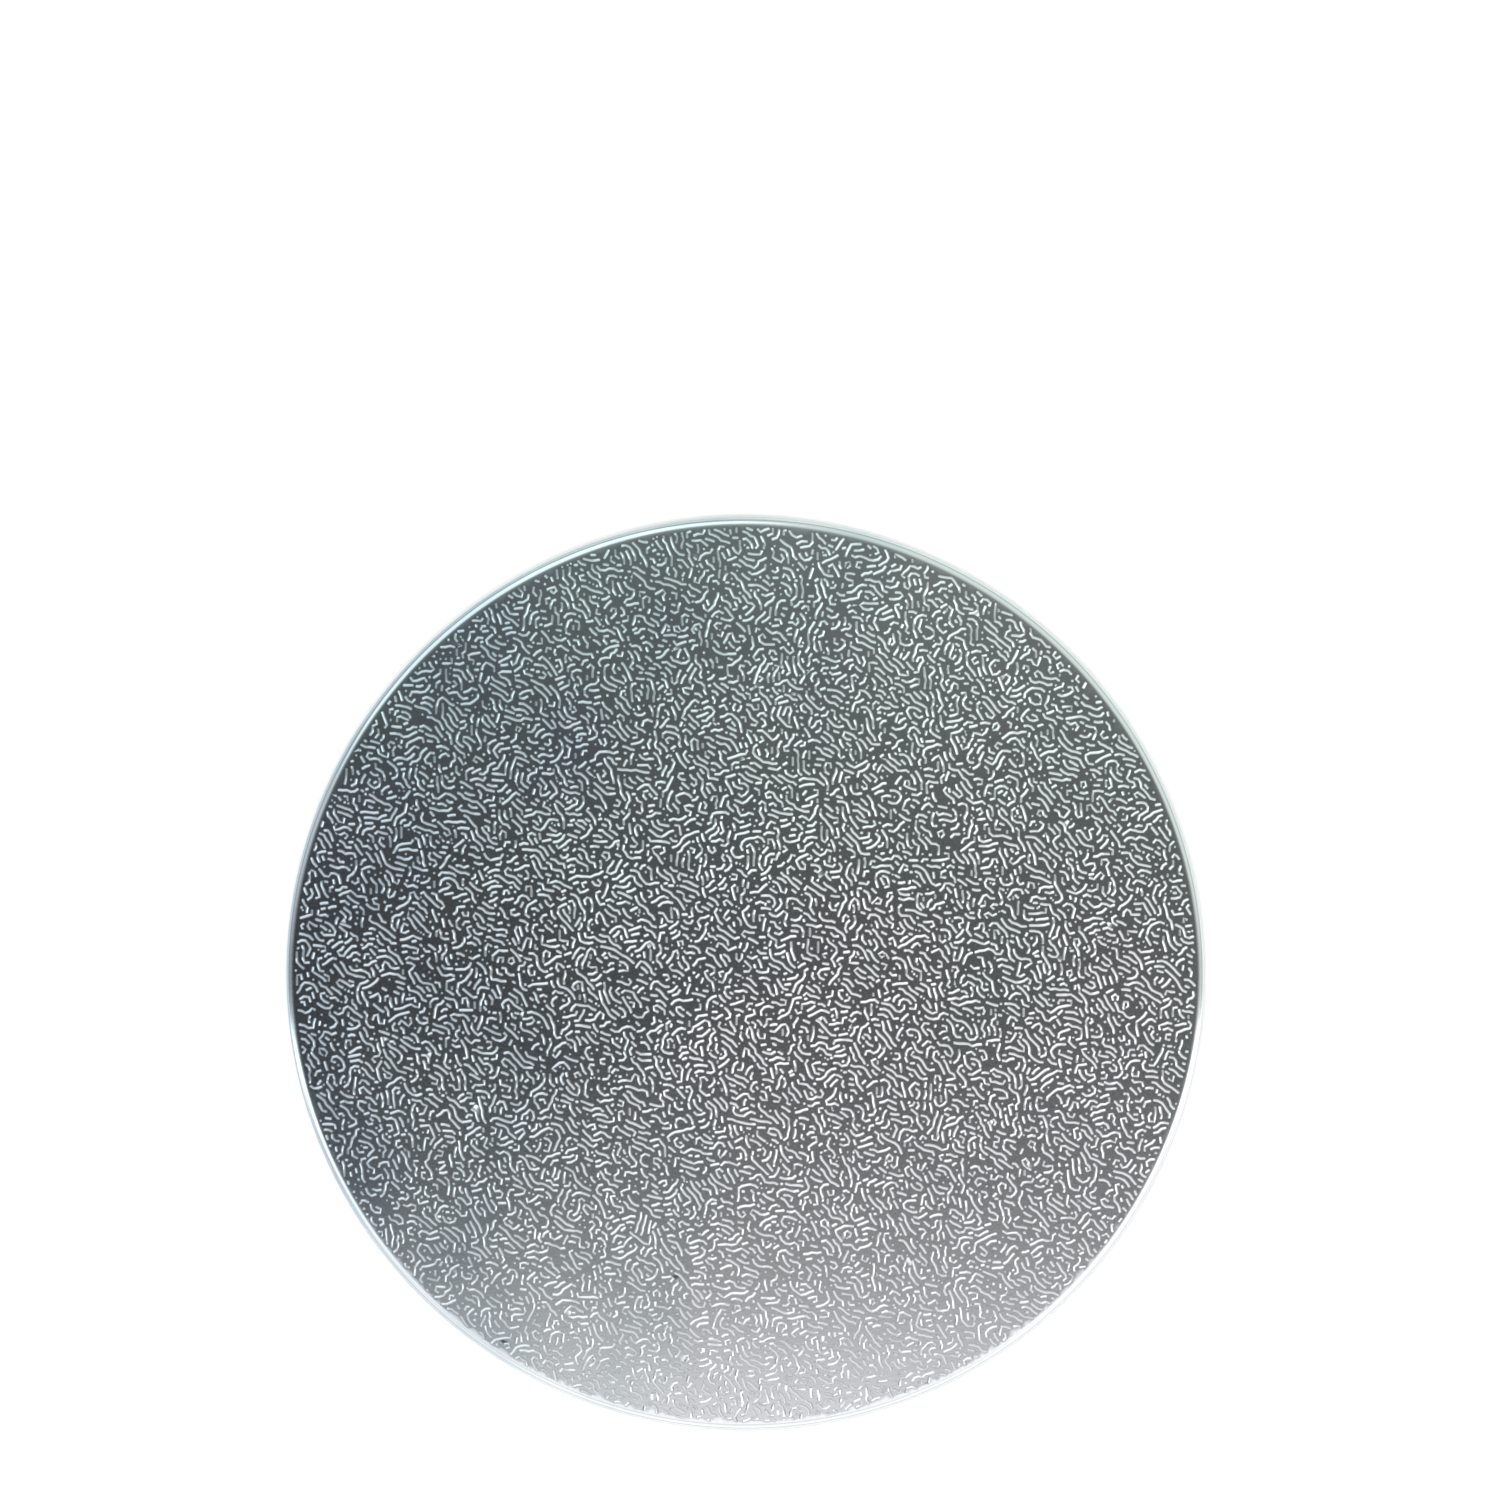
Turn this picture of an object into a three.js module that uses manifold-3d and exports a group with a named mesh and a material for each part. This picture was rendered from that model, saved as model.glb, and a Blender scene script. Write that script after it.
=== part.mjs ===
// A round cake board in millimetres, +Z up, lying face up with the middle of its underside at the origin.
// A disc of stiff greyboard is wrapped in silver foil paper that is embossed with short squiggles.
// The foil rolls softly over the edge and is gathered in small tucks underneath, where a glued disc
// of lining paper covers its raw hem. It is all glued together, so the board is one solid.
import * as THREE from "three";
import { mergeGeometries, mergeVertices } from "three/addons/utils/BufferGeometryUtils.js";
import Module from "manifold-3d";

// The board and its rolled edge.
const boardDiameter = 203;
const boardThickness = 3;
const shoulderWidth = 1.8;
const shoulderDrop = 1.5;
const heelRadius = 0.7;

// The foil's hem underneath, its tucks and the lining paper.
const hemWidth = 7;
const liningThickness = 0.3;
const tuckCount = 60;
const tuckWidth = 3;
const tuckRise = 0.2;
const tuckUnderlap = 0.7; // in under the lining
const tuckLean = 0.2; // share of its width from one side to its crest

// The embossed squiggles. The real ones lie 1.35 mm apart: these are the same strokes, drawn coarser.
const squigglePitch = 4.55;
const squiggleWidth = 2.5;
const squiggleHeight = 0.25;
const squiggleMargin = 0.4; // from a squiggle's side to the edge of the flat face

// How the squiggles run: lengths in pitches, and angles in degrees, with the lean from +X.
const longRuns = { shortest: 2.2, longest: 5.2 };
const fillingRuns = { shortest: 0.9, longest: 2.2 };
const nearestRun = 0.8;
const tracingStep = 0.2;
const bendStep = 1.5;
const leanAngle = -38;
const swingAngle = 62;
const swirlWaveCount = 6;
const swirlWaves = { shortest: 6, longest: 12 };

// Facets and joining.
const edgeFacets = 120;
const shoulderFacets = 3;
const heelFacets = 2;
const joiningShare = 0.3; // of a raised form's height, let into the board

const boardRadius = boardDiameter / 2;
const faceRadius = boardRadius - shoulderWidth;
const squiggleRadius = faceRadius - squiggleMargin - squiggleWidth / 2;
const liningRadius = boardRadius - heelRadius - hemWidth;

const wasm = await Module();
wasm.setup();

// A closed three.js geometry as a solid that can be joined to another.
function toSolid(geometry) {
  const shell = geometry.clone();
  shell.deleteAttribute("normal");
  shell.deleteAttribute("uv");
  const merged = mergeVertices(shell);
  return new wasm.Manifold(
    new wasm.Mesh({
      numProp: 3,
      vertProperties: new Float32Array(merged.attributes.position.array),
      triVerts: new Uint32Array(merged.index.array),
    }),
  );
}

// A joined solid as a flat-shaded three.js geometry.
function toGeometry(solid) {
  const { numProp, numVert, triVerts, vertProperties } = solid.getMesh();
  const position = new Float32Array(numVert * 3);
  for (let i = 0; i < numVert; i++) {
    position.set(vertProperties.subarray(i * numProp, i * numProp + 3), i * 3);
  }
  const indexed = new THREE.BufferGeometry();
  indexed.setAttribute("position", new THREE.BufferAttribute(position, 3));
  indexed.setIndex(new THREE.BufferAttribute(triVerts, 1));
  const geometry = indexed.toNonIndexed();
  geometry.computeVertexNormals();
  return geometry;
}

// A geometry from corner points and the triangles between them.
function fromTriangles(points, triangles) {
  const geometry = new THREE.BufferGeometry().setFromPoints(points);
  geometry.setIndex(triangles.flat());
  return geometry;
}

// The wrapped board, turned from its section: lining, hem, heel, wall, rolled shoulder and face.
function makeWrappedBoard() {
  const section = [new THREE.Vector2(0, 0), new THREE.Vector2(liningRadius, 0)];
  section.push(new THREE.Vector2(liningRadius, liningThickness));
  const heelCentre = new THREE.Vector2(boardRadius - heelRadius, liningThickness + heelRadius);
  for (let i = 0; i <= heelFacets; i++) {
    const angle = (-0.5 + (0.5 * i) / heelFacets) * Math.PI;
    const outwards = new THREE.Vector2(Math.cos(angle), Math.sin(angle));
    section.push(outwards.multiplyScalar(heelRadius).add(heelCentre));
  }
  for (let i = 0; i <= shoulderFacets; i++) {
    const angle = (0.5 * Math.PI * i) / shoulderFacets;
    section.push(
      new THREE.Vector2(
        faceRadius + shoulderWidth * Math.cos(angle),
        boardThickness - shoulderDrop * (1 - Math.sin(angle)),
      ),
    );
  }
  section.push(new THREE.Vector2(0, boardThickness));
  return new THREE.LatheGeometry(section, edgeFacets).rotateX(Math.PI / 2);
}

// One tuck of spare foil: a low fold that grows from nothing at the heel to its full width at the lining.
function makeTuck(turn) {
  const hem = liningThickness;
  const letIn = hem + tuckRise * joiningShare;
  const innerRadius = liningRadius - tuckUnderlap;
  const points = [
    new THREE.Vector3(boardRadius - heelRadius, 0, letIn),
    new THREE.Vector3(innerRadius, tuckWidth / 2, letIn),
    new THREE.Vector3(innerRadius, -tuckWidth / 2, letIn),
    new THREE.Vector3(innerRadius, tuckWidth * (0.5 - tuckLean), hem - tuckRise),
  ];
  const sides = [
    [0, 1, 2],
    [0, 3, 1],
    [0, 2, 3],
    [1, 3, 2],
  ];
  return fromTriangles(points, sides).rotateZ(turn);
}

// The direction in which a squiggle runs at a place on the face: a lean, swung to and fro by crossed waves.
function makeSwirl(random) {
  const waves = Array.from({ length: swirlWaveCount }, () => {
    const heading = random() * 2 * Math.PI;
    const waveLength = squigglePitch * THREE.MathUtils.lerp(swirlWaves.shortest, swirlWaves.longest, random());
    return { heading, waveNumber: (2 * Math.PI) / waveLength, phase: random() * 2 * Math.PI };
  });
  return (x, y) => {
    const swing = waves.reduce(
      (sum, { heading, waveNumber, phase }) =>
        sum + Math.sin(waveNumber * (x * Math.cos(heading) + y * Math.sin(heading)) + phase),
      0,
    );
    return THREE.MathUtils.degToRad(leanAngle + swingAngle * swing * Math.sqrt(2 / swirlWaveCount));
  };
}

// Repeatable random numbers from 0 to 1, by a linear congruential generator.
function makeRandom(seed) {
  let state = seed;
  return () => {
    state = (Math.imul(state, 1664525) + 1013904223) >>> 0;
    return state / 4294967296;
  };
}

// The places already taken by squiggles, kept in square cells one pitch wide.
function makeTaken() {
  const cells = new Map();
  const cellOf = (x, y) => [Math.floor(x / squigglePitch), Math.floor(y / squigglePitch)];
  return {
    add(point) {
      const key = cellOf(point.x, point.y).join();
      cells.set(key, [...(cells.get(key) ?? []), point]);
    },
    isClear(point, distance) {
      const [column, row] = cellOf(point.x, point.y);
      for (let i = column - 1; i <= column + 1; i++) {
        for (let j = row - 1; j <= row + 1; j++) {
          const near = cells.get([i, j].join()) ?? [];
          if (near.some((other) => other.distanceTo(point) < distance)) return false;
        }
      }
      return true;
    },
  };
}

// Centrelines of the squiggles: each runs with the swirl until it nears another, and seeds more beside it.
// Long ones come first, and short ones then fill the gaps between them.
function laySquiggles() {
  const random = makeRandom(11);
  const swirl = makeSwirl(random);
  const taken = makeTaken();
  const step = squigglePitch * tracingStep;
  const clearance = squigglePitch * nearestRun;
  const isFree = (point) => point.length() < squiggleRadius && taken.isClear(point, clearance);

  function trace(seed, length, way) {
    const path = [];
    let point = seed;
    for (let run = step; run <= length; run += step) {
      const angle = swirl(point.x, point.y);
      const ahead = new THREE.Vector2(Math.cos(angle), Math.sin(angle)).multiplyScalar(way * step);
      point = point.clone().add(ahead);
      if (!isFree(point)) break;
      path.push(point);
    }
    return path;
  }

  function besides(line) {
    return line.flatMap((point) => {
      const side = swirl(point.x, point.y) + Math.PI / 2;
      const across = new THREE.Vector2(Math.cos(side), Math.sin(side)).multiplyScalar(squigglePitch);
      return [point.clone().add(across), point.clone().sub(across)];
    });
  }

  const lines = [];
  for (const runs of [longRuns, fillingRuns]) {
    const seeds = [new THREE.Vector2(0, 0), ...lines.flatMap(besides)];
    for (const seed of seeds) {
      if (!isFree(seed)) continue;
      const reach = squigglePitch * THREE.MathUtils.lerp(runs.shortest, runs.longest, random());
      const back = trace(seed, reach * random(), -1).reverse();
      const line = [...back, seed, ...trace(seed, reach - back.length * step, 1)];
      if ((line.length - 1) * step < runs.shortest * squigglePitch) continue;
      lines.push(line);
      line.forEach((point) => taken.add(point));
      seeds.push(...besides(line));
    }
  }
  return lines;
}

// One raised squiggle: a low ridge along its centreline, with a blunt point at both ends.
function makeSquiggle(line) {
  const curve = new THREE.SplineCurve(line);
  const length = curve.getLength();
  const cap = squiggleWidth / 2;
  const bends = Math.max(1, Math.round((length - 2 * cap) / (bendStep * squigglePitch)));
  const runs = Array.from({ length: bends + 1 }, (_, i) => cap + ((length - 2 * cap) * i) / bends);
  const route = [0, ...runs, length].map((run) => curve.getPointAt(run / length));

  const crestZ = boardThickness + squiggleHeight;
  const rootZ = boardThickness - squiggleHeight * joiningShare;
  const halfWidth = (squiggleWidth / 2) * (1 + joiningShare);
  const points = [];
  for (let i = 1; i <= bends + 1; i++) {
    const { x, y } = route[i];
    const along = route[i + 1].clone().sub(route[i - 1]).normalize();
    points.push(new THREE.Vector3(x - along.y * halfWidth, y + along.x * halfWidth, rootZ));
    points.push(new THREE.Vector3(x + along.y * halfWidth, y - along.x * halfWidth, rootZ));
    points.push(new THREE.Vector3(x, y, crestZ));
  }
  const triangles = [];
  for (let i = 0; i < bends; i++) {
    const [left, right, crest, nextLeft, nextRight, nextCrest] = [0, 1, 2, 3, 4, 5].map((k) => 3 * i + k);
    triangles.push([left, crest, nextCrest], [left, nextCrest, nextLeft]);
    triangles.push([right, nextRight, nextCrest], [right, nextCrest, crest]);
    triangles.push([left, nextLeft, nextRight], [left, nextRight, right]);
  }
  const last = points.length - 3;
  const tips = [route[0], route.at(-1)].map(({ x, y }) => points.push(new THREE.Vector3(x, y, rootZ)) - 1);
  triangles.push([tips[0], 1, 2], [tips[0], 2, 0], [tips[0], 0, 1]);
  triangles.push([tips[1], last, last + 2], [tips[1], last + 2, last + 1], [tips[1], last + 1, last]);
  return fromTriangles(points, triangles);
}

const tucks = Array.from({ length: tuckCount }, (_, i) => makeTuck((2 * Math.PI * i) / tuckCount));
const squiggles = laySquiggles().map(makeSquiggle);
const cakeBoardSolid = toSolid(makeWrappedBoard())
  .add(toSolid(mergeGeometries(tucks)))
  .add(toSolid(mergeGeometries(squiggles)));

const foil = new THREE.MeshStandardMaterial({ color: 0xb9bfbf, roughness: 0.35, metalness: 0.9 });
const cakeBoard = new THREE.Mesh(toGeometry(cakeBoardSolid), foil);
cakeBoard.name = "cake_board";

const group = new THREE.Group();
group.name = "round cake board";
group.add(cakeBoard);

export default group;
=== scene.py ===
import math
import random

import bpy
import numpy as np
from mathutils import Matrix, Vector
from mathutils.geometry import delaunay_2d_cdt


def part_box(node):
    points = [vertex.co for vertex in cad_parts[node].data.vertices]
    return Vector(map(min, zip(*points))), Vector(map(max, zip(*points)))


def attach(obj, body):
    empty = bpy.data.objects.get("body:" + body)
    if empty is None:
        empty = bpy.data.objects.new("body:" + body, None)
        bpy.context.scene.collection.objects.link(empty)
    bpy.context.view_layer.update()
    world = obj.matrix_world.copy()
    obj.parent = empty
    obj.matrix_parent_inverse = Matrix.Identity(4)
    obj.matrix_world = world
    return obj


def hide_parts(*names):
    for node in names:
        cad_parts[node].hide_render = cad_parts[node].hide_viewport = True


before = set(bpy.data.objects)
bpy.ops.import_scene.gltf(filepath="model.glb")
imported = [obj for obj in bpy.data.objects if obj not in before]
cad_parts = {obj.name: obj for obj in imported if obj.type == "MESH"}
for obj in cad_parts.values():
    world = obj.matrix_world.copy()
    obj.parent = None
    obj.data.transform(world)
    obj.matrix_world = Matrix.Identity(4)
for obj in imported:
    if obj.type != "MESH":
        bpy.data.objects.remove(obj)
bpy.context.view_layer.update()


# Foil cover. Paper faced with bright aluminium foil, glued over the face of the greyboard disc and rolled
# softly over its edge. A roller has embossed it all over with raised squiggles, about 1.3 mm apart, which
# flatten out where the foil is drawn round the edge.
MM = 0.001
low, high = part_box("cake_board")
board_radius = (high[0] - low[0]) / 2
coarse_emboss = 0.25 * MM
face_z = high[2] - coarse_emboss
shoulder_width = 1.8 * MM
shoulder_drop = 1.5 * MM
shoulder_facets = 8
heel_radius = 0.7 * MM
heel_facets = 6
hem_z = 0.3 * MM
closing_inset = 0.2 * MM
face_radius = board_radius - shoulder_width
round_facets = 360
sharp_angle = 17

pitch = 1.24 * MM
squiggle_width = 0.66 * MM
squiggle_height = 0.17 * MM
width_spread = (0.88, 1.06)
height_spread = (0.8, 1)
widest_share = 0.9  # of a squiggle's length
tip_share = 0.7  # of half its width
bend_step = 1.02 * MM
edge_gap = 0.7 * squiggle_width
fade_width = 0.6 * MM

# The stripes that the squiggles are cut from, and how they are cut, in cells of a grid.
cell = 0.2 * MM
cells = 1024
lean = math.radians(-38)
lean_share = 0.05
start_blur = 4
start_level = 0.3
growing_steps = 5
growing_rate = 0.35
stripe_gain = 0.8
blob_gain = 0.3
bright_share = 0.5
thinning_passes = 6
squiggle_runs = (10, 40)
heading_run = 5
side_gap = 3
end_gap = 2.5
end_cells = 2
dot_share = 0.1
dot_reach = 1.6
smoothing_passes = 3

# The foil's tones by height, from the rim through the flat ground to the strokes, and its finish. The tones
# are a painted reflection: the rim and the strokes lighter, the flat ground darker.
rim_highlight_tones = [(0, "#dddfe0"), (0.2, "#d3d5d6")]
ground_shade_tones = [(0.325, "#a0a2a4"), (0.36, "#a0a2a4")]
stroke_highlight_tones = [(0.6, "#c8cacc")]
relief_below = 0.1 * MM
relief_above = 0.2 * MM
# Painted reflection: the foil is tinted cool and darker towards one side, with its edge drifted by a cloud
# noise.
cool_reflection_heading = (0.93, -0.37, 0)
cool_painted_reflection = [(0.1, "#c9d4dd"), (0.42, "#f0f4f5"), (0.56, "#fdfdfd")]
# Painted reflection: the foil is tinted greenish towards the top, with its edge drifted by the same cloud
# noise.
green_reflection_heading = (0.2, 0.98, 0)
green_painted_reflection = [(0.5, "#ffffff"), (0.75, "#f0f8f4"), (0.95, "#eef9f4")]
cloud_size = 35 * MM
cast_drift = 0.3
grain_size = 0.6 * MM
grain_depth = 0.02 * MM
grain_strength = 0.15
foil_roughness = (0.1, 0.18)


def grow_squiggles(seed):
    """The roller's pattern as a grid of cells. Stripes one pitch apart grow out of even noise, by a few
    steps of the Swift-Hohenberg equation, and the damping favours those that run along the lean."""
    rng = np.random.default_rng(seed)
    across, down = np.meshgrid(np.fft.rfftfreq(cells, cell), np.fft.fftfreq(cells, cell))
    crossing = (across * math.cos(lean) + down * math.sin(lean)) ** 2 * pitch**2
    damping = (1 - (across**2 + down**2) * pitch**2) ** 2 + lean_share * crossing
    field = np.fft.rfft2(rng.standard_normal((cells, cells))) * np.exp(-start_blur * damping)
    field = np.fft.irfft2(field, (cells, cells))
    field *= start_level / field.std()
    for _ in range(growing_steps):
        growth = stripe_gain * field + blob_gain * field**2 - field**3
        grown = np.fft.rfft2(field + growing_rate * growth)
        field = np.fft.irfft2(grown / (1 + growing_rate * damping), (cells, cells))
    return field > np.quantile(field, 1 - bright_share)


def thin_out(stripes):
    """Wears stripes of cells down to their centrelines, one cell wide."""
    turns = ((1, 0), (1, -1), (0, -1), (-1, -1), (-1, 0), (-1, 1), (0, 1), (1, 1))
    for corners in ((0, 2, 4, 6), (6, 0, 2, 4)) * thinning_passes:
        near = [np.roll(stripes, turn, (0, 1)) for turn in turns]
        count = sum(side.astype(np.uint8) for side in near)
        pairs = zip(near, near[1:] + near[:1])
        edges = sum((~side & following).astype(np.uint8) for side, following in pairs)
        first, second, third, fourth = (near[corner] for corner in corners)
        kept = (first & second & third) | (second & third & fourth)
        stripes = stripes & ~((count >= 2) & (count <= 6) & (edges == 1) & ~kept)
    return stripes


def lay_squiggles(inner, outer, seed):
    """Centrelines of the squiggles in a ring, as lists of places. Where stripes meet, one runs through."""
    rng = random.Random(seed)
    rows, columns = np.nonzero(thin_out(grow_squiggles(seed)))
    reach = np.hypot(rows - cells / 2, columns - cells / 2) * cell
    inside = (reach > inner) & (reach < outer)
    left = dict.fromkeys(zip(columns[inside].tolist(), rows[inside].tolist()))
    around = [(1, 0), (0, 1), (-1, 0), (0, -1), (1, 1), (-1, 1), (-1, -1), (1, -1)]
    steps_off = range(-side_gap, side_gap + 1)
    beside = [(i, j) for i in steps_off for j in steps_off if math.hypot(i, j) <= side_gap]
    beside_end = [(i, j) for i, j in beside if math.hypot(i, j) <= end_gap]

    def next_places(x, y):
        return [(x + i, y + j) for i, j in around if (x + i, y + j) in left]

    ends = [place for place in left if len(next_places(*place)) < 2]
    lines = []
    for start in ends + list(left):
        if start not in left:
            continue
        line = [start]
        del left[start]
        longest = rng.randint(*squiggle_runs)
        while len(line) < longest and (steps := next_places(*line[-1])):
            x, y = line[-1]
            from_x, from_y = line[-heading_run:][0]
            ahead = x - from_x, y - from_y
            step = max(steps, key=lambda place: (place[0] - x) * ahead[0] + (place[1] - y) * ahead[1])
            line.append(step)
            del left[step]
        for number, (x, y) in enumerate(line):
            near_end = number < end_cells or number >= len(line) - end_cells
            for i, j in beside_end if near_end else beside:
                left.pop((x + i, y + j), None)
        if len(line) > 1 or rng.random() < dot_share:
            lines.append([((x - cells / 2) * cell, (y - cells / 2) * cell) for x, y in line])
    return lines


def smooth_out(line):
    """A centreline without the steps of its grid, drawn out by a cell at both ends."""
    route = [Vector(place) for place in line]
    if len(route) < 3:
        along = Vector((math.cos(lean), math.sin(lean))) * dot_reach * cell
        return [route[0] - along, route[0] + along]
    for _ in range(smoothing_passes):
        middles = [(a + 2 * b + c) / 4 for a, b, c in zip(route, route[1:], route[2:])]
        route = [route[0]] + middles + [route[-1]]
    first = (route[0] - route[2]).normalized() * cell
    last = (route[-1] - route[-3]).normalized() * cell
    return [route[0] + first] + route + [route[-1] + last]


def emboss(lines, fade, points, creases):
    """Adds each squiggle's outline, at no height, and its raised crest to lists of points and creases."""
    rng = random.Random(len(lines))
    for line in lines:
        route = smooth_out(line)
        runs = [0]
        for a, b in zip(route, route[1:]):
            runs.append(runs[-1] + (b - a).length)
        half = min(squiggle_width, runs[-1] * widest_share) / 2
        span = runs[-1] - 2 * tip_share * half
        bends = max(1, round(span / bend_step))
        marks = [tip_share * half + span * i / bends for i in range(bends + 1)]
        marks = [0] + marks + [runs[-1]]
        stations = []
        leg = 0
        for mark in marks:
            while leg < len(route) - 2 and runs[leg + 1] < mark:
                leg += 1
            share = (mark - runs[leg]) / (runs[leg + 1] - runs[leg])
            stations.append(route[leg].lerp(route[leg + 1], share))
        lefts, rights, crests = [], [], []
        height = squiggle_height * rng.uniform(*height_spread)
        for before, here, after in zip(stations, stations[1:], stations[2:]):
            along = (after - before).normalized()
            side = Vector((-along.y, along.x)) * half * rng.uniform(*width_spread)
            raised = height * fade(here.length)
            for row, place, z in ((lefts, here + side, 0), (rights, here - side, 0), (crests, here, raised)):
                row.append(len(points))
                points.append((place.x, place.y, z))
        tips = []
        for place in (stations[0], stations[-1]):
            tips.append(len(points))
            points.append((place.x, place.y, 0))
        outline = [tips[0]] + rights + [tips[1]] + lefts[::-1]
        creases += zip(outline, outline[1:] + outline[:1])
        ridge = [tips[0]] + crests + [tips[1]]
        creases += zip(ridge, ridge[1:])


def triangulate(points, creases):
    """Joins embossed points in one sheet of triangles that keeps every crease as an edge."""
    flat = [Vector(point[:2]) for point in points]
    places, _, faces, sources, _, _ = delaunay_2d_cdt(flat, creases, [], 0, 1e-9, True)
    heights = [points[source[0]][2] if source else 0 for source in sources]
    number = {}
    for new, source in enumerate(sources):
        for old in source:
            number[old] = new
    return places, heights, faces, number


def make_mesh(name, points, faces):
    """A checked mesh object, smooth but for its sharp edges."""
    mesh = bpy.data.meshes.new(name)
    mesh.from_pydata(points, [], faces)
    mesh.validate()
    mesh.shade_smooth()
    mesh.set_sharp_from_angle(angle=math.radians(sharp_angle))
    piece = bpy.data.objects.new(name, mesh)
    bpy.context.scene.collection.objects.link(piece)
    return piece


def ring(radius, z):
    """Points evenly round a circle."""
    turns = [math.tau * i / round_facets for i in range(round_facets)]
    return [(radius * math.cos(turn), radius * math.sin(turn), z) for turn in turns]


def skin(upper, lower):
    """Faces that join two rings of point numbers, seen from outside with the first ring above."""
    following = upper[1:] + upper[:1], lower[1:] + lower[:1]
    return [[a, b, c, d] for a, b, c, d in zip(upper, lower, following[1], following[0])]


def make_foil_cover():
    """The embossed face, then the rolled shoulder, the wall and the heel, closed under the hem."""
    lines = lay_squiggles(0, face_radius - edge_gap, seed=4)
    points = ring(face_radius, 0)
    creases = list(zip(range(round_facets), [*range(1, round_facets), 0]))
    emboss(lines, lambda radius: min(1, (face_radius - radius) / fade_width), points, creases)
    places, heights, faces, number = triangulate(points, creases)
    points = [(place.x, place.y, face_z + height) for place, height in zip(places, heights)]
    section = []
    for i in range(1, shoulder_facets + 1):
        angle = math.pi / 2 * (1 - i / shoulder_facets)
        drop = shoulder_drop * (1 - math.sin(angle))
        section.append((face_radius + shoulder_width * math.cos(angle), face_z - drop))
    for i in range(heel_facets + 1):
        angle = -math.pi / 2 * i / heel_facets
        reach = heel_radius * math.cos(angle)
        section.append((board_radius - heel_radius + reach, hem_z + heel_radius * (1 + math.sin(angle))))
    section.append((board_radius - heel_radius - closing_inset, hem_z + closing_inset))
    rings = [[number[i] for i in range(round_facets)]]
    for radius, z in section:
        rings.append(list(range(len(points), len(points) + round_facets)))
        points += ring(radius, z)
    for upper, lower in zip(rings, rings[1:]):
        faces += skin(upper, lower)
    middle = len(points)
    points.append((0, 0, hem_z + closing_inset))
    faces += [[b, a, middle] for a, b in zip(rings[-1], rings[-1][1:] + rings[-1][:1])]
    return make_mesh("foil_cover", points, faces)


def linear(colour):
    """A colour written as sRGB hex, as the linear red, green, blue and alpha that Blender takes."""
    parts = [int(colour[i : i + 2], 16) / 255 for i in (1, 3, 5)]
    return [part / 12.92 if part <= 0.04045 else ((part + 0.055) / 1.055) ** 2.4 for part in parts] + [1]


def add_node(tree, kind, settings=(), links=()):
    """Adds a node. Settings are its properties, or values of sockets by name or number."""
    node = tree.nodes.new(kind)
    for key, value in dict(settings).items():
        if isinstance(key, str) and hasattr(node, key):
            setattr(node, key, value)
        else:
            node.inputs[key].default_value = value
    for key, source in dict(links).items():
        tree.links.new(source, node.inputs[key])
    return node


def set_ramp(node, stops):
    """Sets a Color Ramp's stops, each a place from 0 to 1 and an sRGB hex colour."""
    elements = node.color_ramp.elements
    while len(elements) < len(stops):
        elements.new(1)
    for element, (place, colour) in zip(elements, stops):
        element.position = place
        element.color = linear(colour)


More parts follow.
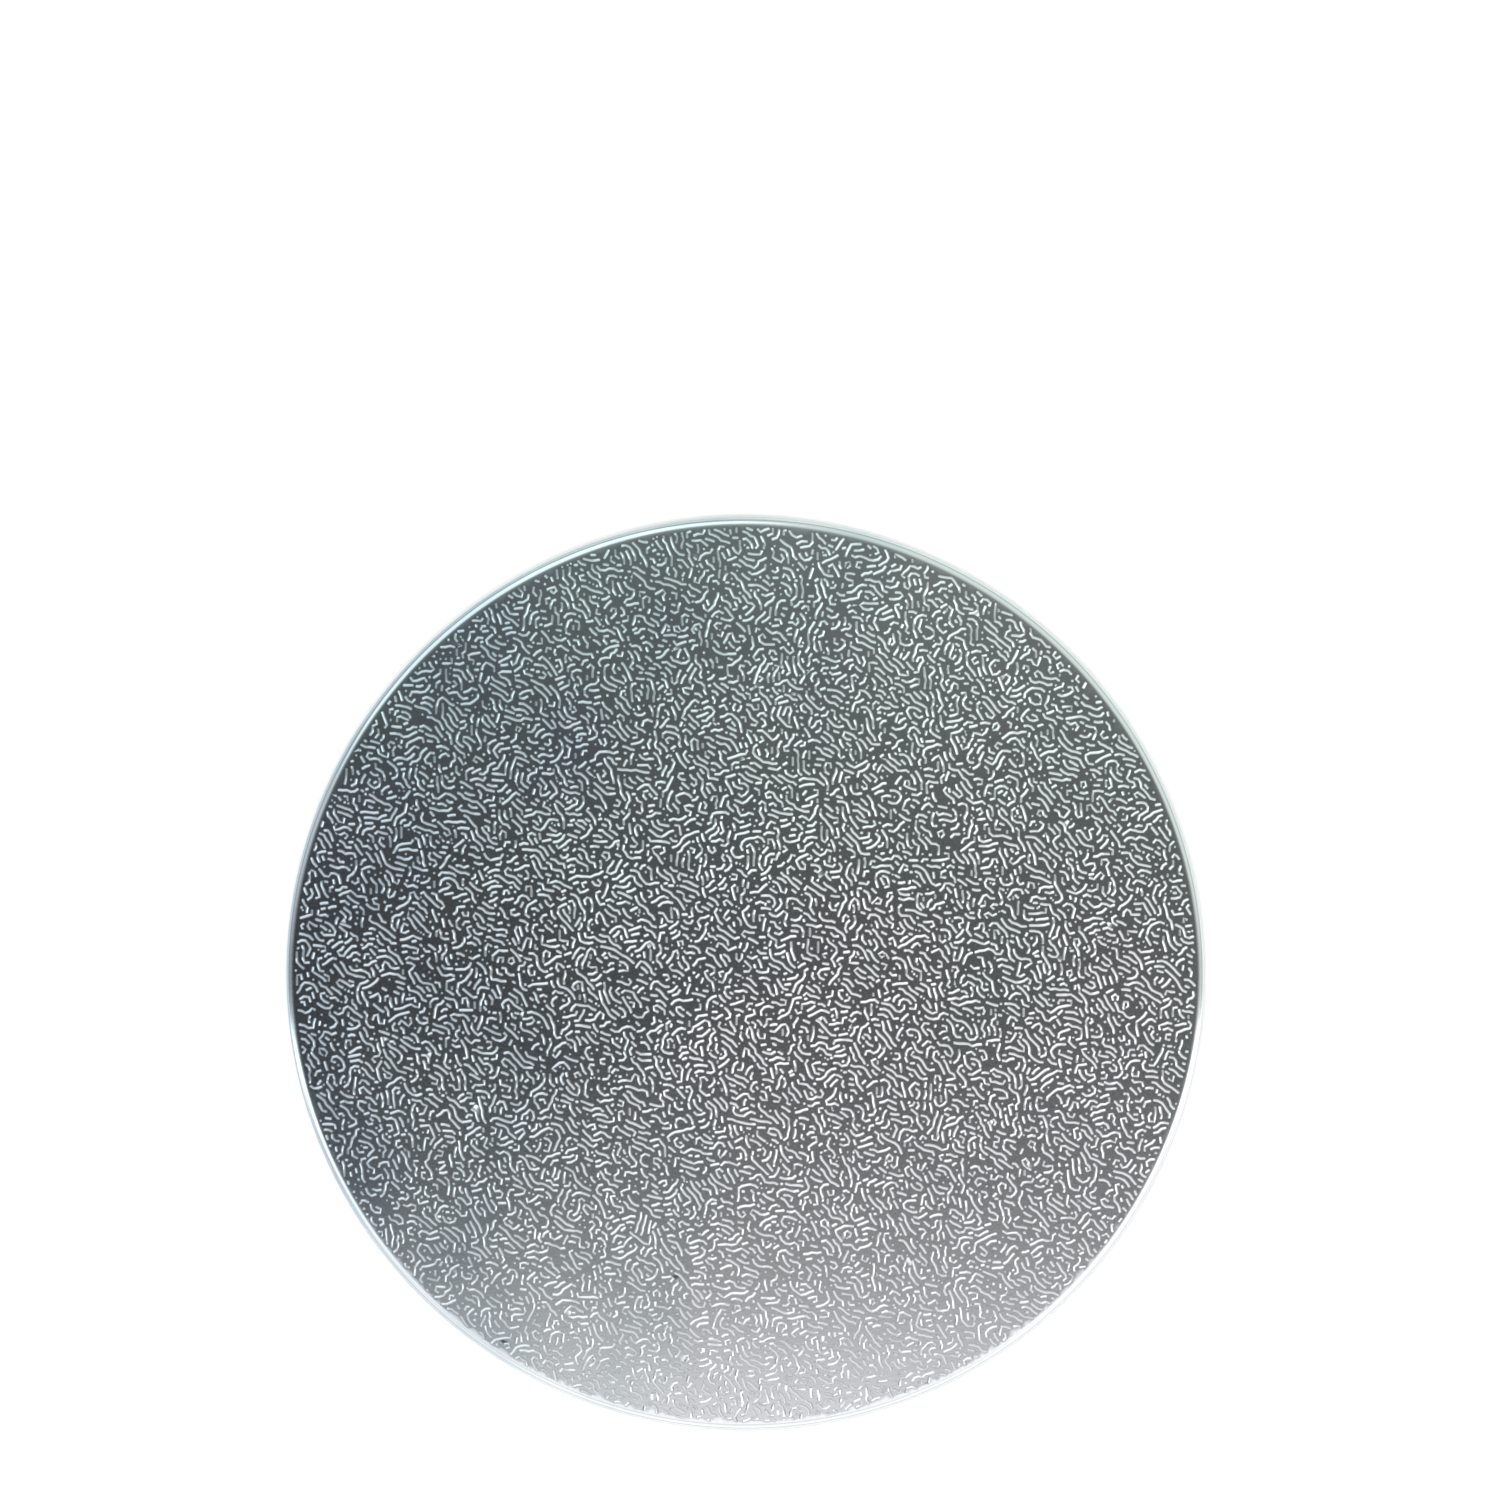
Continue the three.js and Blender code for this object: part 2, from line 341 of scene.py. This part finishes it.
def make_foil():
    """Aluminium foil on paper, roller embossed, with a painted reflection: the raised strokes and the rim
    lighter, the flat ground darker.
    """
    material = bpy.data.materials.new("aluminium foil paper, roller embossed")
    material.use_nodes = True
    tree = material.node_tree
    tree.nodes.clear()
    place = add_node(tree, "ShaderNodeTexCoord").outputs["Object"]
    z = add_node(tree, "ShaderNodeSeparateXYZ", links={"Vector": place}).outputs["Z"]
    middle = (face_z + hem_z) / 2
    from_middle = add_node(tree, "ShaderNodeMath", {"operation": "SUBTRACT", 1: middle}, {0: z})
    distance = add_node(tree, "ShaderNodeMath", {"operation": "ABSOLUTE"}, {0: from_middle.outputs[0]})
    span = (face_z - middle - relief_below, face_z - middle + relief_above)
    level = add_node(
        tree, "ShaderNodeMapRange", {"From Min": span[0], "From Max": span[1]}, {"Value": distance.outputs[0]}
    )
    # Painted reflection by height: the rolled rim and the raised strokes lighter, the flat ground darker.
    relief = add_node(tree, "ShaderNodeValToRGB", links={"Fac": level.outputs[0]})
    set_ramp(relief, rim_highlight_tones + ground_shade_tones + stroke_highlight_tones)
    cloud = add_node(
        tree, "ShaderNodeTexNoise", {"Scale": 1 / cloud_size, "Detail": 3.0}, {"Vector": place}
    )
    drift = add_node(
        tree, "ShaderNodeMapRange", {"To Min": -cast_drift, "To Max": cast_drift},
        {"Value": cloud.outputs["Fac"]},
    )
    colour = relief.outputs["Color"]
    # Painted reflection across the face: cooler and darker towards one side, greenish towards the top.
    for heading, stops in ((cool_reflection_heading, cool_painted_reflection), (green_reflection_heading, green_painted_reflection)):
        along = add_node(
            tree, "ShaderNodeVectorMath", {"operation": "DOT_PRODUCT", 1: heading}, {0: place}
        )
        share = add_node(
            tree, "ShaderNodeMapRange", {"From Min": -board_radius, "From Max": board_radius},
            {"Value": along.outputs["Value"]},
        )
        drifted = add_node(
            tree, "ShaderNodeMath", {"operation": "ADD"}, {0: share.outputs[0], 1: drift.outputs[0]}
        )
        cast = add_node(tree, "ShaderNodeValToRGB", links={"Fac": drifted.outputs[0]})
        set_ramp(cast, stops)
        tinted = add_node(
            tree, "ShaderNodeMix", {"data_type": "RGBA", "blend_type": "MULTIPLY", 0: 1.0},
            {6: colour, 7: cast.outputs["Color"]},
        )
        colour = tinted.outputs[2]
    grain = add_node(
        tree, "ShaderNodeTexNoise", {"Scale": 1 / grain_size, "Detail": 3.0}, {"Vector": place}
    )
    roughness = add_node(
        tree, "ShaderNodeMapRange", {"To Min": foil_roughness[0], "To Max": foil_roughness[1]},
        {"Value": grain.outputs["Fac"]},
    )
    bump = add_node(
        tree, "ShaderNodeBump", {"Strength": grain_strength, "Distance": grain_depth},
        {"Height": grain.outputs["Fac"]},
    )
    shader = add_node(
        tree, "ShaderNodeBsdfPrincipled", {"Metallic": 1.0},
        {"Base Color": colour, "Roughness": roughness.outputs[0], "Normal": bump.outputs[0]},
    )
    add_node(tree, "ShaderNodeOutputMaterial", links={"Surface": shader.outputs[0]})
    return material


foil = make_foil()
foil_cover = make_foil_cover()
foil_cover.data.materials.append(foil)
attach(foil_cover, "root")
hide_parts("cake_board")


# Hem. The margin of the same foil paper, turned under the board and glued down, so its emboss faces down.
# It shows as a ring between the edge and the lining paper.
hem_width = 7 * MM
hem_underlap = 1 * MM
hem_thickness = 0.3 * MM


def make_hem():
    """A flat ring with the emboss on its lower face, closed on its upper face inside the board."""
    outer = board_radius - heel_radius
    inner = outer - hem_width - hem_underlap
    lines = lay_squiggles(inner + squiggle_width, outer - edge_gap, seed=9)
    points = ring(outer, 0) + ring(inner, 0)
    creases = list(zip(range(round_facets), [*range(1, round_facets), 0]))
    creases += [(a + round_facets, b + round_facets) for a, b in creases]
    emboss(lines, lambda radius: min(1, (outer - radius) / fade_width), points, creases)
    places, heights, faces, number = triangulate(points, creases)
    inner_ring = {number[i] for i in range(round_facets, 2 * round_facets)}
    faces = [face for face in faces if not inner_ring.issuperset(face)]
    points = [(place.x, place.y, hem_z - height) for place, height in zip(places, heights)]
    faces = [face[::-1] for face in faces]
    lower_outer = [number[i] for i in range(round_facets)]
    lower_inner = [number[i] for i in range(round_facets, 2 * round_facets)]
    upper_outer = list(range(len(points), len(points) + round_facets))
    upper_inner = list(range(len(points) + round_facets, len(points) + 2 * round_facets))
    top_z = hem_z + hem_thickness
    points += ring(outer - hem_thickness, top_z) + ring(inner, top_z)
    faces += skin(upper_outer, lower_outer) + skin(upper_inner, upper_outer) + skin(lower_inner, upper_inner)
    return make_mesh("foil_hem", points, faces)


foil_hem = make_hem()
foil_hem.data.materials.append(foil)
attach(foil_hem, "root")
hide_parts("cake_board")


# Lining paper. A disc of plain white kraft paper, die cut and glued under the board. It hides the raw edge
# of the hem, and the board rests on it.
lining_radius = board_radius - heel_radius - hem_width
lining_top = hem_z + 0.05 * MM
cut_width = 0.06 * MM
cut_height = 0.04 * MM
inner_rings = (0.66, 0.33)
paper_tones = [(0.3, "#e2e1da"), (0.7, "#ecebe5")]
paper_roughness = 0.82
paper_cloud_size = 7 * MM
fibre_size = 0.5 * MM
fibre_stretch = (0.3, 1, 1)
fibre_depth = 0.03 * MM
fibre_strength = 0.3


def make_lining():
    """A thin flat disc with a crisp cut edge."""
    section = [(lining_radius, lining_top), (lining_radius, cut_height), (lining_radius - cut_width, 0)]
    section += [(lining_radius * share, 0) for share in inner_rings]
    points = [(0, 0, lining_top)]
    rings = []
    for radius, z in section:
        rings.append(list(range(len(points), len(points) + round_facets)))
        points += ring(radius, z)
    bottom = len(points)
    points.append((0, 0, 0))
    faces = [[a, b, 0] for a, b in zip(rings[0], rings[0][1:] + rings[0][:1])]
    for upper, lower in zip(rings, rings[1:]):
        faces += skin(upper, lower)
    faces += [[b, a, bottom] for a, b in zip(rings[-1], rings[-1][1:] + rings[-1][:1])]
    return make_mesh("lining_paper", points, faces)


def make_paper():
    """Bleached kraft, calendered: off-white and matt, with a faint cloudiness and short fibres."""
    material = bpy.data.materials.new("bleached kraft paper, calendered")
    material.use_nodes = True
    tree = material.node_tree
    tree.nodes.clear()
    place = add_node(tree, "ShaderNodeTexCoord").outputs["Object"]
    cloud = add_node(
        tree, "ShaderNodeTexNoise", {"Scale": 1 / paper_cloud_size, "Detail": 4.0}, {"Vector": place}
    )
    colour = add_node(tree, "ShaderNodeValToRGB", links={"Fac": cloud.outputs["Fac"]})
    set_ramp(colour, paper_tones)
    stretched = add_node(tree, "ShaderNodeMapping", {"Scale": fibre_stretch}, {"Vector": place})
    fibre = add_node(
        tree, "ShaderNodeTexNoise", {"Scale": 1 / fibre_size, "Detail": 3.0},
        {"Vector": stretched.outputs[0]},
    )
    bump = add_node(
        tree, "ShaderNodeBump", {"Strength": fibre_strength, "Distance": fibre_depth},
        {"Height": fibre.outputs["Fac"]},
    )
    shader = add_node(
        tree, "ShaderNodeBsdfPrincipled", {"Roughness": paper_roughness},
        {"Base Color": colour.outputs[0], "Normal": bump.outputs[0]},
    )
    add_node(tree, "ShaderNodeOutputMaterial", links={"Surface": shader.outputs[0]})
    return material


lining_paper = make_lining()
lining_paper.data.materials.append(make_paper())
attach(lining_paper, "root")
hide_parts("cake_board")


# Tucks. Turned round a disc, the margin of the foil paper gathers in small radial folds, which are glued
# flat in the hem. Each is widest at its middle and thins out both ways.
tuck_count = 60
tuck_inset = 3.4 * MM
tuck_ring = board_radius - heel_radius - tuck_inset
tuck_length = 6 * MM
tuck_width = 2.2 * MM
tuck_height = 0.36 * MM
tuck_taper = (0.12, 0.5)  # half its width, at its ends and at its middle
tuck_bends = 9
tuck_sides = 12
tuck_jog = 0.012
smallest_tuck = (0.72, 0.6, 0.8)
largest_tuck = (1.0, 1.3, 1.0)


def make_tuck_tree():
    """Geometry Nodes: one flattened fold, set round a ring with its length, width and lean varied."""
    tree = bpy.data.node_groups.new("radial tucks", "GeometryNodeTree")
    tree.interface.new_socket("Count", in_out="INPUT", socket_type="NodeSocketInt")
    for name in ("Ring Radius", "Length", "Width", "Height"):
        tree.interface.new_socket(name, in_out="INPUT", socket_type="NodeSocketFloat")
    tree.interface.new_socket("Seed", in_out="INPUT", socket_type="NodeSocketInt")
    tree.interface.new_socket("Material", in_out="INPUT", socket_type="NodeSocketMaterial")
    tree.interface.new_socket("Geometry", in_out="OUTPUT", socket_type="NodeSocketGeometry")
    given = tree.nodes.new("NodeGroupInput").outputs
    end = add_node(tree, "ShaderNodeCombineXYZ", links={"X": given["Length"]}).outputs[0]
    half = add_node(tree, "ShaderNodeVectorMath", {"operation": "SCALE", "Scale": 0.5}, {0: end}).outputs[0]
    start = add_node(tree, "ShaderNodeVectorMath", {"operation": "SCALE", "Scale": -0.5}, {0: end}).outputs[0]
    line = add_node(tree, "GeometryNodeCurvePrimitiveLine", links={"Start": start, "End": half})
    spine = add_node(tree, "GeometryNodeResampleCurve", {"Count": tuck_bends}, {"Curve": line.outputs[0]})
    along = add_node(tree, "GeometryNodeSplineParameter").outputs["Factor"]
    turn = add_node(tree, "ShaderNodeMath", {"operation": "MULTIPLY", 1: math.pi}, {0: along})
    swell = add_node(tree, "ShaderNodeMath", {"operation": "SINE"}, {0: turn.outputs[0]})
    taper = add_node(
        tree, "ShaderNodeMapRange", {"To Min": tuck_taper[0], "To Max": tuck_taper[1]},
        {"Value": swell.outputs[0]},
    )
    size = add_node(
        tree, "ShaderNodeMath", {"operation": "MULTIPLY"}, {0: taper.outputs[0], 1: given["Width"]}
    )
    circle = add_node(
        tree, "GeometryNodeCurvePrimitiveCircle", {"Resolution": tuck_sides, "Radius": 1.0}
    )
    tube = add_node(
        tree, "GeometryNodeCurveToMesh", {"Fill Caps": True},
        {"Curve": spine.outputs[0], "Profile Curve": circle.outputs[0], "Scale": size.outputs[0]},
    )
    flat = add_node(
        tree, "ShaderNodeMath", {"operation": "DIVIDE"}, {0: given["Height"], 1: given["Width"]}
    )
    squash = add_node(tree, "ShaderNodeCombineXYZ", {"X": 1.0, "Y": 1.0}, {"Z": flat.outputs[0]})
    fold = add_node(
        tree, "GeometryNodeTransform", links={"Geometry": tube.outputs[0], "Scale": squash.outputs[0]}
    )
    places = add_node(
        tree, "GeometryNodeMeshCircle", links={"Vertices": given["Count"], "Radius": given["Ring Radius"]}
    )
    jog = add_node(
        tree, "FunctionNodeRandomValue",
        {"data_type": "FLOAT_VECTOR", "Min": (-tuck_jog, -tuck_jog, 0), "Max": (tuck_jog, tuck_jog, 0)},
        {"Seed": given["Seed"]},
    )
    outward = add_node(
        tree, "ShaderNodeVectorMath", {"operation": "ADD"},
        {0: add_node(tree, "GeometryNodeInputPosition").outputs[0], 1: jog.outputs[0]},
    )
    facing = add_node(
        tree, "FunctionNodeAlignRotationToVector", {"axis": "X"}, {"Vector": outward.outputs[0]}
    )
    growth = add_node(
        tree, "FunctionNodeRandomValue",
        {"data_type": "FLOAT_VECTOR", "Min": smallest_tuck, "Max": largest_tuck},
        {"Seed": given["Seed"]},
    )
    folds = add_node(
        tree, "GeometryNodeInstanceOnPoints",
        links={"Points": places.outputs[0], "Instance": fold.outputs[0], "Rotation": facing.outputs[0],
               "Scale": growth.outputs[0]},
    )
    whole = add_node(tree, "GeometryNodeRealizeInstances", links={"Geometry": folds.outputs[0]})
    coated = add_node(
        tree, "GeometryNodeSetMaterial", links={"Geometry": whole.outputs[0], "Material": given["Material"]}
    )
    add_node(tree, "NodeGroupOutput", links={"Geometry": coated.outputs[0]})
    return tree


def make_tucks():
    """The ring of folds as a plain mesh, lowered into the hem so that half of each stands out of it."""
    piece = bpy.data.objects.new("hem_tucks", bpy.data.meshes.new("hem_tucks"))
    bpy.context.scene.collection.objects.link(piece)
    modifier = piece.modifiers.new("radial tucks", "NODES")
    modifier.node_group = make_tuck_tree()
    values = {
        "Count": tuck_count, "Ring Radius": tuck_ring, "Length": tuck_length, "Width": tuck_width,
        "Height": tuck_height, "Seed": 3, "Material": foil,
    }
    for socket in modifier.node_group.interface.items_tree:
        if socket.in_out == "INPUT":
            modifier[socket.identifier] = values[socket.name]
    evaluated = piece.evaluated_get(bpy.context.evaluated_depsgraph_get())
    mesh = bpy.data.meshes.new_from_object(evaluated)
    piece.modifiers.clear()
    mesh.transform(Matrix.Translation((0, 0, hem_z)))
    mesh.shade_smooth()
    piece.data = mesh
    return piece


hem_tucks = make_tucks()
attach(hem_tucks, "root")
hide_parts("cake_board")


# Studio. A plain white floor under the board, in even light from a pale tent. Overhead, where the camera
# looks in, the tent is open: the foil's flat ground mirrors that dark gap, and its strokes the tent.
floor_radius = 30.0
floor_tone = "#fafafa"
floor_roughness = 0.9
floor_gloss = 0.1
tent_level = 1.06
gap_centre = (-0.12, -0.13, 0)
gap_stretch = (0.3, 1.5, 0)
gap_rise = (0.02, 0.37)
wall_top = (0.4, 0.2)
strip_rise = (-0.194, -0.226)
strip_fall = (-0.28, -0.42)
strip_level = 2.5
beyond_strip = 0.4
sun_direction = (-0.5, 0.75, 1.0)
sun_strength = 0.56
sun_spread = math.radians(50)
band = [(0.16, "#ffffff"), (0.25, "#c8cacb"), (0.36, "#c8cacb"), (0.47, "#ffffff")]


def make_floor():
    """A wide white disc at the height that the board rests on."""
    points = ring(floor_radius, 0)
    floor = make_mesh("floor", points, [list(range(round_facets))])
    material = bpy.data.materials.new("white paper sweep")
    material.use_nodes = True
    shader = material.node_tree.nodes["Principled BSDF"]
    shader.inputs["Base Color"].default_value = linear(floor_tone)
    shader.inputs["Roughness"].default_value = floor_roughness
    shader.inputs["Specular IOR Level"].default_value = floor_gloss
    floor.data.materials.append(material)
    return floor


def light_tent():
    """The world: a bright tent, greyer in a low band round it, with a dark gap overhead that ends above its
    walls. A bright strip beside the gap shows in the board's lower edge."""
    world = bpy.data.worlds.new("studio tent")
    bpy.context.scene.world = world
    world.use_nodes = True
    tree = world.node_tree
    tree.nodes.clear()
    direction = add_node(tree, "ShaderNodeTexCoord").outputs["Generated"]
    parts = add_node(tree, "ShaderNodeSeparateXYZ", links={"Vector": direction}).outputs
    offset = add_node(
        tree, "ShaderNodeVectorMath", {"operation": "SUBTRACT", 1: gap_centre}, {0: direction}
    )
    stretched = add_node(
        tree, "ShaderNodeVectorMath", {"operation": "MULTIPLY", 1: gap_stretch}, {0: offset.outputs[0]}
    )
    away = add_node(tree, "ShaderNodeVectorMath", {"operation": "LENGTH"}, {0: stretched.outputs[0]})
    edge = add_node(
        tree, "ShaderNodeMapRange",
        {"From Min": gap_rise[0], "From Max": gap_rise[1], "To Min": 0.0, "To Max": tent_level},
        {"Value": away.outputs["Value"]},
    )
    wall = add_node(
        tree, "ShaderNodeMapRange",
        {"From Min": wall_top[0], "From Max": wall_top[1], "To Min": 0.0, "To Max": tent_level},
        {"Value": parts["Z"]},
    )
    tent = add_node(
        tree, "ShaderNodeMath", {"operation": "MAXIMUM"}, {0: edge.outputs[0], 1: wall.outputs[0]}
    )
    strip = add_node(
        tree, "ShaderNodeMapRange",
        {"From Min": strip_rise[0], "From Max": strip_rise[1], "To Min": 0.0, "To Max": strip_level},
        {"Value": parts["Y"]},
    )
    fall = add_node(
        tree, "ShaderNodeMapRange",
        {"From Min": strip_fall[0], "From Max": strip_fall[1], "To Min": 0.0,
         "To Max": strip_level - beyond_strip},
        {"Value": parts["Y"]},
    )
    lit = add_node(
        tree, "ShaderNodeMath", {"operation": "ADD"}, {0: tent.outputs[0], 1: strip.outputs[0]}
    )
    level = add_node(
        tree, "ShaderNodeMath", {"operation": "SUBTRACT"}, {0: lit.outputs[0], 1: fall.outputs[0]}
    )
    walls = add_node(tree, "ShaderNodeValToRGB", links={"Fac": parts["Z"]})
    set_ramp(walls, band)
    background = add_node(
        tree, "ShaderNodeBackground", links={"Color": walls.outputs[0], "Strength": level.outputs[0]}
    )
    add_node(tree, "ShaderNodeOutputWorld", links={"Surface": background.outputs[0]})


def add_sun():
    """A soft sun, high and to the upper left."""
    data = bpy.data.lights.new("soft_sun", "SUN")
    data.energy = sun_strength
    data.angle = sun_spread
    lamp = bpy.data.objects.new("soft_sun", data)
    lamp.rotation_euler = Vector(sun_direction).to_track_quat("Z", "Y").to_euler()
    bpy.context.scene.collection.objects.link(lamp)


make_floor()
light_tent()
add_sun()


# Camera. The photograph looks at the board nearly square on, from slightly past its upper edge, and the
# board sits low in the frame.
photo_width = 1497
board_width = 923
board_centre = (745.5, 979)
view_tilt = math.radians(3.6)
lens = 100
sensor_width = 36
scale = 2 * board_radius / board_width
camera_data = bpy.data.cameras.new("camera")
camera_data.lens = lens
camera_data.sensor_width = sensor_width
camera = bpy.data.objects.new("camera", camera_data)
bpy.context.scene.collection.objects.link(camera)
bpy.context.scene.camera = camera
target = Vector(
    (
        (photo_width / 2 - board_centre[0]) * scale,
        (board_centre[1] - photo_width / 2) * scale,
        face_z,
    )
)
distance = lens / sensor_width * photo_width * scale
camera.location = target + distance * Vector((0, math.sin(view_tilt), math.cos(view_tilt)))
camera.rotation_euler = (-view_tilt, 0, 0)
bpy.context.scene.view_settings.view_transform = "Standard"
